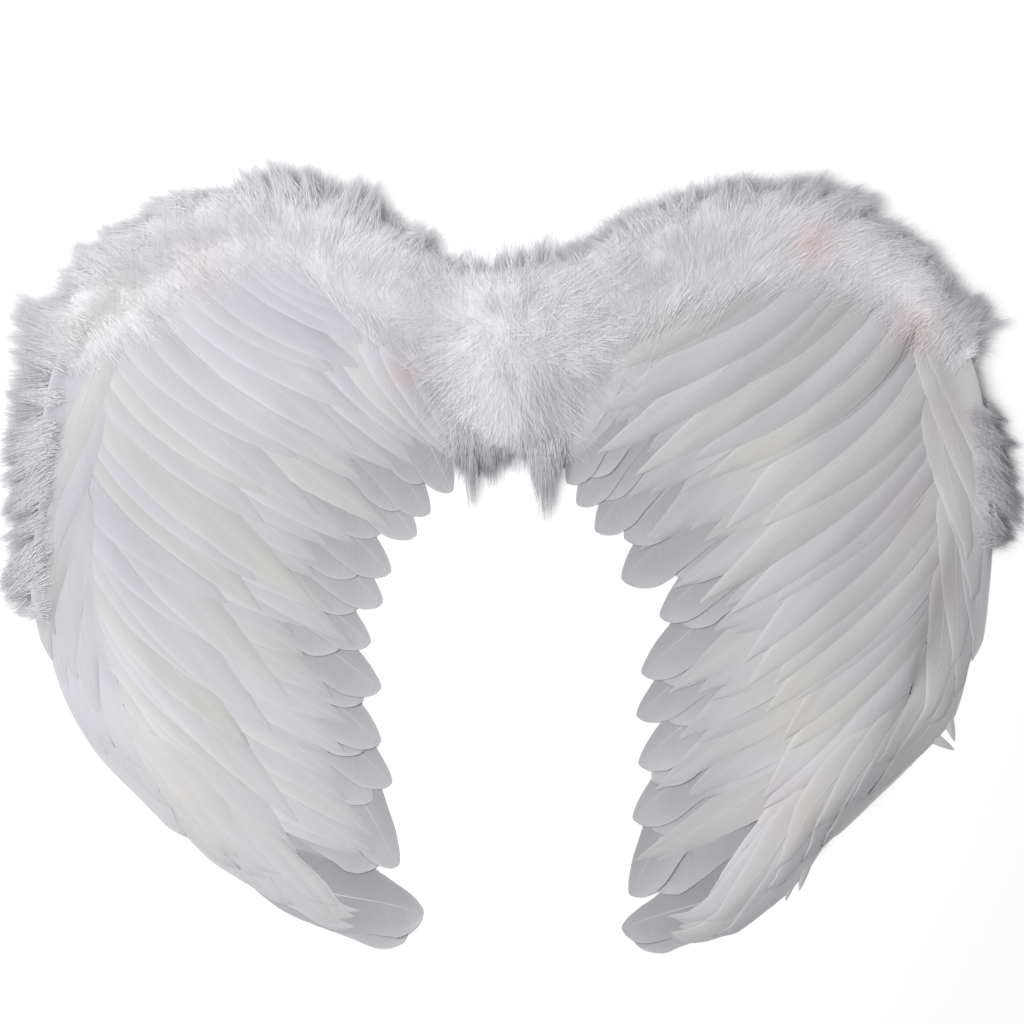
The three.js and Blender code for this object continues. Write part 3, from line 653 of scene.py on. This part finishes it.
VANES = barbed_material(
    "feather_vane", stretch=(8.0, 0.35, 1.0), detail=4.0, distortion=0.0, shades=(0.965, 1.025),
    bump=(0.22, 0.0005),
    look={"Roughness": 0.55, "Sheen Weight": 0.15, "Sheen Roughness": 0.5, "Specular IOR Level": 0.3})
DOWN = barbed_material(
    "marabou_down", stretch=(7.0, 0.6, 1.0), detail=5.0, distortion=0.6, shades=(0.94, 1.04),
    bump=(0.35, 0.0008),
    look={"Roughness": 0.85, "Sheen Weight": 0.3, "Specular IOR Level": 0.15})
FELT = felt_material()

# Feathers, cooler and warmer, then the soft bodies of the boas, and their long, short and greyest down. The
# down is painted lighter than the body under it, and the short down lighter still, to make up for the shade
# between its strands, and the greyest down is painted shade
WHITE = np.array([0.45, 0.446, 0.478])
CREAM = np.array([0.455, 0.451, 0.452])
PALE = np.array([0.58, 0.577, 0.597])
SOFT = np.array([0.64, 0.637, 0.662])
FLUFF = np.array([0.745, 0.741, 0.771])
PAINTED_SHADE_GREY = np.array([0.31, 0.31, 0.35])
# How light each wing's feathers are, the right wing painted darker as shade since the light falls from the
# left, and how much warmer
WING_PAINTED_SHADE = {"right": 0.925, "left": 0.985}
WING_CREAM = {"right": 0.2, "left": 0.0}


def dress(obj, material, slot, *nodes):
    obj.data.materials.append(material)
    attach(obj, "root")
    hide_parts(*nodes)


# Rows of feathers

# The share of the length that is padded, the share of the way to the solid that the pad goes, and the gap
# that stays
PAD_SHARE = 0.7
PAD_RISE = 0.45
PAD_GAP = 1.5


def pad_row(rows, lines, spines, kind, ground):
    """Raises the ground towards the root halves of a row's solids."""
    for row, line, spine in zip(rows, lines, spines):
        half = row[4] / 2
        u = np.linspace(0, PAD_SHARE, 110)[:, None]
        w = np.linspace(-1, 1, 45)[None] * kind["spread"](u) * half
        u = u + 0 * w
        spot = plan(line, u, w)
        now = ground.top(spot)
        wanted = np.interp(u, ALONG, spine) - PAD_GAP
        rise = np.clip((PAD_SHARE - u) / 0.45, 0, 1) * np.clip((1 - np.abs(w) / half) / 0.5, 0, 1)
        z = now + PAD_RISE * np.maximum(wanted - now, 0) * rise
        ground.raise_to(np.concatenate([spot, z[..., None]], axis=-1))


def feather_tint(side_name, kind, rng):
    cream = kind["cream"] * (rng.uniform(0, 1) ** 2 + WING_CREAM[side_name])
    tint = WHITE + (CREAM - WHITE) * min(cream, 1)
    # The right wing's feathers are painted darker as shade
    return tint * WING_PAINTED_SHADE[side_name] * rng.uniform(0.98, 1.02)


def dress_feathers(parts, side):
    for node, pieces in parts.items():
        obj = mesh_object(f"{node}_vane", stack(pieces), side)
        dress(obj, VANES, "feather", node)


def lay_row(side_name, kind_name, nodes, rows, inner, tail, ground):
    """Lays a row and its companions. nodes names the solid of each feather."""
    side, kind = SIDES[side_name], KINDS[kind_name]
    # The right wing's upper coverts take their painted shade the other way round
    if side > 0 and kind_name == "upper":
        kind = dict(kind, across=RIGHT_UPPER_PAINTED_SHADE)
    rng = np.random.default_rng([kind["seed"], side + 1])
    trees = {node: tree_of(node) for node in set(nodes)}
    lines = [row_line(row, SOLID_BEND) for row in rows]
    spines = [spine_of(trees[node], line, side) for node, line in zip(nodes, lines)]
    pad_row(rows, lines, spines, kind, ground)
    parts = {node: [] for node in nodes}
    for at, line, width in with_companions(rows, inner, tail, kind, rng):
        piece = feather(line, width * kind["slim"], kind, ground, rng, feather_tint(side_name, kind, rng))
        parts[nodes[max(int(at), 0)]].append(piece)
    dress_feathers(parts, side)


def lay_edge(side_name, ground):
    """Lays the feathers that follow the outer edge, after the stray ones that look out from under them."""
    side, kind = SIDES[side_name], KINDS["edge"]
    rng = np.random.default_rng([kind["seed"], side + 1])
    edge, tangent = spline(LEADING_EDGE, EDGE_STEPS + 1)
    out = left_of(tangent)
    nodes = numbered(side_name, "edge", EDGE_STARTS)
    parts = {node: [] for node in nodes}

    def at(values, run):
        steps = np.arange(EDGE_STEPS + 1)
        return np.stack([np.interp(run, steps, values[:, k]) for k in range(2)], axis=1)

    def add(node, line, width):
        piece = feather(line, width, kind, ground, rng, feather_tint(side_name, kind, rng))
        parts[node].append(piece)

    bank = np.arange(BANK_START, int(BOA_END[side_name] * EDGE_STEPS))
    for deep in range(-BANK_OUT, BANK_IN):
        spot = edge[bank] - out[bank] * deep
        z = BANK_HEIGHT * (1 - max(deep, 0) / BANK_IN) * np.clip((bank - BANK_START) / BANK_RAMP, 0, 1)
        ground.raise_to(np.concatenate([spot, z[:, None]], axis=1))
    for number, x, y, tip_x, tip_y, width in STRAYS[side_name]:
        line = np.array([x, y]) + ALONG[:, None] * np.array([tip_x - x, tip_y - y])
        add(nodes[number - 1], line, width)
    starts = np.interp(np.arange(0, len(nodes), 1 / EDGE_PER), np.arange(len(nodes)), EDGE_STARTS)
    for k in reversed(range(len(starts))):
        length, width = rng.uniform(*EDGE_LENGTH), rng.uniform(*EDGE_WIDTH)
        start = min(starts[k] + rng.uniform(-5, 5), EDGE_STEPS - length)
        run = start + ALONG * length
        deep = EDGE_STAGGER * (k * GOLDEN % 1)
        inset = deep + np.maximum(kind["spread"](ALONG), 0.3) * width / 2 + EDGE_ROOT * (1 - ALONG) ** 3
        inset -= column(EDGE_OUT[side_name], run / EDGE_STEPS)
        add(nodes[k // EDGE_PER], at(edge, run) - at(out, run) * inset[:, None], width)
    dress_feathers(parts, side)


def numbered(side_name, row_name, rows):
    return [f"{side_name}_{row_name}_{i + 1:02d}" for i in range(len(rows))]


# Marabou

LOWEST_DOWN = 0.8


def down(base, end, arch, per, loose, gather, width, tint_root, tint_tip, stray_share, rng):
    """Tufts of down from base points to end points, each of several strands that gather towards the end."""
    which = np.repeat(np.arange(len(base)), per)
    count = len(which)
    start = base[which] + rng.normal(0, loose, (count, 3)) * [1, 1, 0.5]
    way = (end - base)[which] * rng.uniform(0.55, 1.05, (count, 1))
    stray = rng.normal(0, 1, (count, 3)) * [1, 1, 0.6]
    far = np.linalg.norm(way, axis=1)[:, None]
    held = gather[which][:, None]
    stop = base[which] * held + start * (1 - held) + way + stray * far * stray_share * (1 - 0.75 * held)
    middle = (start + stop) / 2 + stray * far * stray_share * 0.5
    middle[:, 2] += arch[which] * rng.uniform(0.6, 1.3, count)
    for points in (start, middle, stop):
        points[:, 2] = np.maximum(points[:, 2], LOWEST_DOWN)
    facing = np.array([0, 0, 1.0]) + rng.normal(0, 0.2, (count, 3))
    shade = 1 + 0.04 * rng.standard_normal((count, 1))
    thick = width * rng.uniform(0.7, 1.3, count)
    return strands(start, middle, stop, facing, thick, tint_root[which] * shade, tint_tip[which] * shade)


def comb(base, flow, length, per, loose, fan, width, lift, tint, top, rng):
    """Tufts of down of one tint from plan points along plan directions. They lie flat, but for some ends that
    stand up by as much as lift. top gives the height under a point."""
    which = np.repeat(np.arange(len(base)), per)
    count = len(which)
    turn = np.arctan2(flow[which, 1], flow[which, 0]) + rng.normal(0, fan, count)
    far = length[which] * rng.uniform(0.5, 1.1, count)
    way = np.stack([np.cos(turn), np.sin(turn)], axis=1) * far[:, None]
    start = base[which] + rng.normal(0, loose, (count, 2))
    halfway = start + way / 2 + left_of(way) * rng.normal(0, 0.06, (count, 1))
    up = lift * rng.uniform(0, 1, count) ** 3
    rises = (0.03, rng.uniform(0.06, 0.2, count) + 0.4 * up, 0.06 + up)
    first, middle, last = (
        np.concatenate([spot, (top(spot) + rise)[:, None]], axis=1)
        for spot, rise in zip((start, halfway, start + way), rises))
    facing = np.array([0, 0, 1.0]) + rng.normal(0, 0.08, (count, 3))
    shade = tint * (1 + 0.02 * rng.standard_normal((count, 1)))
    thick = width * rng.uniform(0.6, 1.3, count)
    return strands(first, 2 * middle - (first + last) / 2, last, facing, thick, shade, shade)


def pillow(spots, under, rise, edges, rng):
    """A soft body under the down, on rows of plan points across a band. It thins out at its edges."""
    lumps = smooth(smooth(rng.normal(0, 1, under.shape), 5, 0), 3, 1) * 3
    z = (under + rise * (1 + 0.06 * np.clip(lumps, -1.5, 1.5))) * edges
    return np.concatenate([spots, np.maximum(z, LOWEST_DOWN)[..., None]], axis=2)


def mixed(a, b, share):
    return a + (b - a) * np.clip(share, 0, 1)[:, None]


def wing_boa(side_name, ground):
    """Makes the boa of one wing over everything that is laid there."""
    side = SIDES[side_name]
    node = f"{side_name}_boa"
    rng = np.random.default_rng([BOA_SEED, side + 1])
    tree = tree_of(node)
    edge, tangent = spline(LEADING_EDGE, EDGE_STEPS + 1)
    out = left_of(tangent)
    last = int(BOA_END[side_name] * EDGE_STEPS)
    shoulder = int(SHOULDER * EDGE_STEPS)
    run = np.arange(last + 1)
    share = run / EDGE_STEPS
    combed = column(BOA_COMB, share)
    past, inner = column(BOA_OUT[side_name], share), column(BOA_IN[side_name], share)
    band = np.minimum(inner + 6, 44) * np.clip((shoulder + 4 - run) / 40, 0.1, 1)
    path = edge[run] - out[run] * column(BOA_INSET, share)[:, None]
    top = np.array([solid_top(tree, side * x, y, 14.0) for x, y in path])
    top = smooth(np.minimum(top, BOA_TOP), 31)
    low = np.minimum(top - column(BOA_HALF, share), LOW_DOWN)

    def point(i, outward, z):
        spot = edge[i] + out[i] * outward[:, None]
        spot[:, 0] -= DRAWN_IN * np.maximum(spot[:, 0] - OUTER_REACH, 0)
        return np.concatenate([spot, z[:, None]], axis=1)

    def scattered(count):
        """Steps of the edge, more of them where the down reaches further."""
        return rng.choice(len(past), count, p=past / past.sum())

    def moved(i, by):
        return np.clip(i + by.astype(int), 0, last)

    # The soft front of the shoulder, from past the outline in over the feather roots
    i = np.arange(0, shoulder, 3)
    across = np.linspace(0, 1, 25)
    ledge = past[i] * 0.3
    away = ledge[:, None] - across[None] * (band[i] + ledge)[:, None]
    spots = edge[i][:, None] + out[i][:, None] * away[..., None]
    under = smooth(smooth(ground.top(spots), 9, 0), 7, 1)
    under = np.maximum.accumulate(under[:, ::-1], axis=1)[:, ::-1] - 0.4
    rows = np.clip(np.minimum(i, shoulder - i) / 30, 0, 1)[:, None]
    rise = np.clip(top[i, None] - 1 - under, 3, 7) * rows
    rise = rise * (1 + np.cos(np.pi * np.clip((across - 0.25) / 0.75, 0, 1))) / 2
    edges = np.sqrt(np.clip(1 - (1 - np.clip(across / 0.3, 0, 1)) ** 2, 0, 1))
    body = pillow(spots, under, rise, edges[None], rng)
    ground.raise_under(body)
    # Painted shade: the body is greyer towards its outer edge
    greyer = np.clip(0.2 - across / 0.3, 0, 0.2)
    tint = np.broadcast_to(mixed(PALE, PAINTED_SHADE_GREY, greyer), body.shape)
    uv = np.stack(np.meshgrid(i / 10, across * 4, indexing="ij"), axis=-1)
    parts = [sheet(body, tint, uv)]

    # Grey underfill past the outline
    i = scattered(360)
    j = moved(i, rng.normal(4, 7, len(i)))
    rise = rng.uniform(0, 1, len(i))
    base = point(i, -rng.uniform(0, 8, len(i)), low[i] * (0.3 + 0.4 * rise))
    end = point(j, past[i] * rng.uniform(0.45, 0.9, len(i)), low[i] * (0.2 + 0.3 * rise))
    # Painted shade: the lower strands are greyer, and those along the outer side much greyer
    grey = 0.4 - 0.3 * rise + np.where(i > shoulder, BOA_PAINTED_SHADE[side_name], 0)
    held = rng.uniform(0.2, 0.6, len(i))
    parts.append(down(
        base, end, arch=1 + 2 * rise, per=26, loose=2.2, gather=held, width=0.3,
        tint_root=mixed(SOFT, PAINTED_SHADE_GREY, grey * 0.6), tint_tip=mixed(SOFT, PAINTED_SHADE_GREY, grey),
        stray_share=0.18, rng=rng))

    # Pointed tufts over it
    i = scattered(72)
    j = moved(i, rng.normal(0, 5, len(i)) + 14 * combed[i])
    rise = rng.uniform(0.3, 1, len(i))
    base = point(i, -rng.uniform(0, np.where(i < shoulder, 8, 3)), 0 * rise)
    base[:, 2] = ground.top(base) + 0.2
    end = point(j, past[i] * rng.uniform(0.75, 1.2, len(i)), low[i] * (0.3 + 0.5 * rise))
    # Painted shade: tufts that reach further or lie lower are greyer, and more so along the outer side
    grey = 0.2 + past[i] / 110 - 0.25 * rise
    grey = grey + np.where(i > shoulder, BOA_PAINTED_SHADE[side_name], TOP_PAINTED_SHADE[side_name])
    held = rng.uniform(0.86, 0.98, len(i))
    # The roots of the tufts are painted lighter to make up for the shade between the strands, and their tips
    # are painted grey as shade
    light, shaded_grey = SOFT * 1.1, PAINTED_SHADE_GREY * TUFT_PAINTED_SHADE[side_name]
    parts.append(down(
        base, end, arch=1 + 2 * rise, per=150, loose=3.2, gather=held, width=0.23,
        tint_root=mixed(light, shaded_grey, grey * 0.2), tint_tip=mixed(light, shaded_grey, grey),
        stray_share=0.12, rng=rng))

    # Fine hairs that stand out past the tufts
    i = scattered(2600)
    j = moved(i, rng.normal(0, 7, len(i)) + 10 * combed[i])
    base = point(i, past[i] * rng.uniform(0, 0.5, len(i)), low[i] * rng.uniform(0.3, 0.8, len(i)))
    end = point(j, 2 + past[i] * rng.uniform(0.7, 1.2, len(i)), low[i] * rng.uniform(0.1, 0.8, len(i)))
    # Painted shade: the hairs are greyer, most along the outer side
    hair = mixed(SOFT, PAINTED_SHADE_GREY, 0.15 + np.where(i > shoulder, BOA_PAINTED_SHADE[side_name] * 0.7, TOP_PAINTED_SHADE[side_name]))
    parts.append(down(
        base, end, arch=rng.uniform(0, 3, len(i)), per=1, loose=1.0, gather=np.zeros(len(i)), width=0.14,
        tint_root=hair, tint_tip=hair, stray_share=0.11, rng=rng))

    # Short down over the front, combed outwards
    i = rng.integers(2, shoulder, 560)
    ledge = past[i] * 0.2
    at = ledge - (band[i] + ledge) * rng.uniform(0, 0.95, len(i))
    base = edge[i] + out[i] * at[:, None]
    flow = out[i] + tangent[i] * (1.1 * combed[i] + rng.normal(0, 0.3, len(i)))[:, None]
    parts.append(comb(
        base, flow, length=rng.uniform(12, 26, len(i)), per=16, loose=2.0, fan=0.14, width=0.24, lift=8,
        tint=FLUFF, top=ground.top, rng=rng))

    # Long down that lies in over the feathers
    i = rng.integers(2, shoulder, 420)
    lean = np.radians(column(BOA_LEAN, share[i]) + rng.normal(0, 7, len(i)))
    flow = -np.stack([np.cos(lean), np.sin(lean)], axis=1)
    base = edge[i] - out[i] * (band[i] * rng.uniform(0.4, 1, len(i)))[:, None]
    length = 8 + inner[i] * rng.uniform(0.2, 1, len(i)) ** 1.5
    parts.append(comb(
        base, flow, length, per=16, loose=2.2, fan=0.1, width=0.4, lift=2,
        tint=(SOFT + FLUFF) / 2, top=ground.top, rng=rng))

    obj = mesh_object(f"{node}_down", stack(parts), side)
    dress(obj, DOWN, "boa", node)


def centre_boa(grounds):
    """Makes the boa in the middle, over both wings."""
    rng = np.random.default_rng(CENTRE_SEED)
    tree = tree_of("centre_boa")
    path, tangent = spline(CENTRE_PATH, CENTRE_STEPS + 1)
    out = left_of(tangent)
    level = smooth(np.minimum([solid_top(tree, x, y, 18.0) for x, y in path], CENTRE_TOP), 21)
    mound = Ground([], 1)

    def top(spots):
        wings = np.maximum(grounds["right"].top(spots), grounds["left"].top(spots * [-1, 1]))
        return np.maximum(wings, mound.top(spots))

    i = np.arange(0, BODY_STEPS, 3)
    across = np.linspace(-1, 1, 33)
    wide = column(BODY_HALF, i)
    spots = path[i][:, None] + out[i][:, None] * (across[None] * wide[:, None])[..., None]
    under = smooth(smooth(top(spots), 9, 0), 9, 1) - 0.4
    ends = np.sqrt(np.clip(i / 14, 0, 1) * np.clip((BODY_STEPS - i) / 14, 0, 1))[:, None]
    rise = np.clip(level[i, None] - under, 2, 20) * (1 + np.cos(np.pi * across)) / 2 * ends
    body = pillow(spots, under, rise, 1, rng)
    mound.raise_under(body)
    uv = np.stack(np.meshgrid(across * 4, i / 10), axis=-1)
    parts = [sheet(body, np.broadcast_to(PALE, body.shape), uv)]

    # Down that lies to both sides and hangs towards the lower end
    i = rng.integers(0, DOWN_STEPS, 900)
    turn = rng.uniform(-1, 1, len(i))
    base = path[i] + out[i] * (turn * column(DOWN_HALF, i))[:, None]
    flow = np.stack([turn * 1.2, column(DOWN_FLOW, i)], axis=1) + rng.normal(0, 0.3, (len(i), 2))
    parts.append(comb(
        base, flow, length=rng.uniform(12, 28, len(i)), per=12, loose=2.4, fan=0.14, width=0.32, lift=7,
        tint=FLUFF * 0.97, top=top, rng=rng))

    # Wisps from its sides over the feathers
    i = rng.integers(8, 100, 220)
    hand = rng.choice([-1, 1], len(i))
    at = hand * rng.uniform(0.5, 1, len(i)) * column(DOWN_HALF, i, 2)
    base = path[i] + out[i] * at[:, None]
    flow = np.stack([hand * column(WISP_FLOW, i), column(WISP_FLOW, i, 2)], axis=1)
    parts.append(comb(
        base, flow, length=rng.uniform(16, 44, len(i)), per=14, loose=3.0, fan=0.12, width=0.32, lift=1,
        tint=(SOFT + WHITE) / 2, top=top, rng=rng))

    # Tufts, from one height to another
    table = np.array(CENTRE_TUFTS, float)
    # Painted shade: each tuft greys towards its tip by its share
    count, grey, shaded_grey = len(table), table[:, 4], 0.7 * PAINTED_SHADE_GREY
    base = np.concatenate([table[:, :2], np.full((count, 1), 7.0)], axis=1)
    end = np.concatenate([table[:, 2:4], np.full((count, 1), 5.0)], axis=1)
    parts.append(down(
        base, end, arch=np.full(count, 3.0), per=140, loose=2.6, gather=np.full(count, 0.93), width=0.3,
        tint_root=mixed(SOFT, shaded_grey, grey * 0.25), tint_tip=mixed(SOFT, shaded_grey, grey),
        stray_share=0.16, rng=rng))
    obj = mesh_object("centre_boa_down", stack(parts), 1)
    dress(obj, DOWN, "boa", "centre_boa")


# The wings

grounds = {}
for side_name, side in SIDES.items():
    ground = grounds[side_name] = Ground([f"{side_name}_panel", "yoke"], side)
    flights = numbered(side_name, "flight", FLIGHT[side_name])
    lay_row(side_name, "flight", flights, FLIGHT[side_name], [], TAIL[side_name], ground)
    coverts = numbered(side_name, "covert", COVERT)
    lay_row(side_name, "covert", coverts, COVERT, INNER["covert"], [], ground)
    upper = [f"{side_name}_upper_coverts"] * len(UPPER)
    lay_row(side_name, "upper", upper, UPPER, INNER["upper"], [], ground)
    lay_edge(side_name, ground)
    wing_boa(side_name, ground)
centre_boa(grounds)
for node in ("right_panel", "left_panel", "yoke"):
    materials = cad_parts[node].data.materials
    materials.clear()
    materials.append(FELT)


# Floor, light and camera

FLOOR_HALF = 4


def floor():
    mesh = bpy.data.meshes.new("floor")
    corners = [(x * FLOOR_HALF, y * FLOOR_HALF, 0) for x, y in ((-1, -1), (1, -1), (1, 1), (-1, 1))]
    mesh.from_pydata(corners, [], [(0, 1, 2, 3)])
    obj = bpy.data.objects.new("floor", mesh)
    bpy.context.scene.collection.objects.link(obj)
    material, _, _, shader = principled("floor_paper")
    shader.inputs["Base Color"].default_value = (0.93, 0.93, 0.93, 1)
    shader.inputs["Roughness"].default_value = 0.9
    obj.data.materials.append(material)


def area_light(name, place, aim, size, power):
    light = bpy.data.lights.new(name, "AREA")
    light.size = size
    light.energy = power
    obj = bpy.data.objects.new(name, light)
    obj.location = place
    obj.rotation_euler = (Vector(aim) - Vector(place)).to_track_quat("-Z", "Y").to_euler()
    bpy.context.scene.collection.objects.link(obj)


def studio():
    world = bpy.data.worlds.new("studio")
    world.use_nodes = True
    sky = world.node_tree.nodes["Background"]
    sky.inputs["Color"].default_value = (1, 1, 1, 1)
    sky.inputs["Strength"].default_value = 0.5
    bpy.context.scene.world = world
    area_light("key", place=(-0.75, 0.15, 1.2), aim=(0, -0.1, 0), size=1.2, power=24)


def camera():
    data = bpy.data.cameras.new("camera")
    data.sensor_width = SENSOR
    data.lens = SENSOR * (CAMERA_HEIGHT - HALF_HEIGHT) / (PHOTO_WIDTH * PIXEL)
    data.clip_end = 20
    obj = bpy.data.objects.new("camera", data)
    obj.location = (VIEW_CENTRE[0] * MM, VIEW_CENTRE[1] * MM, CAMERA_HEIGHT * MM)
    bpy.context.scene.collection.objects.link(obj)
    bpy.context.scene.camera = obj


floor()
studio()
camera()
bpy.context.scene.view_settings.view_transform = "Standard"
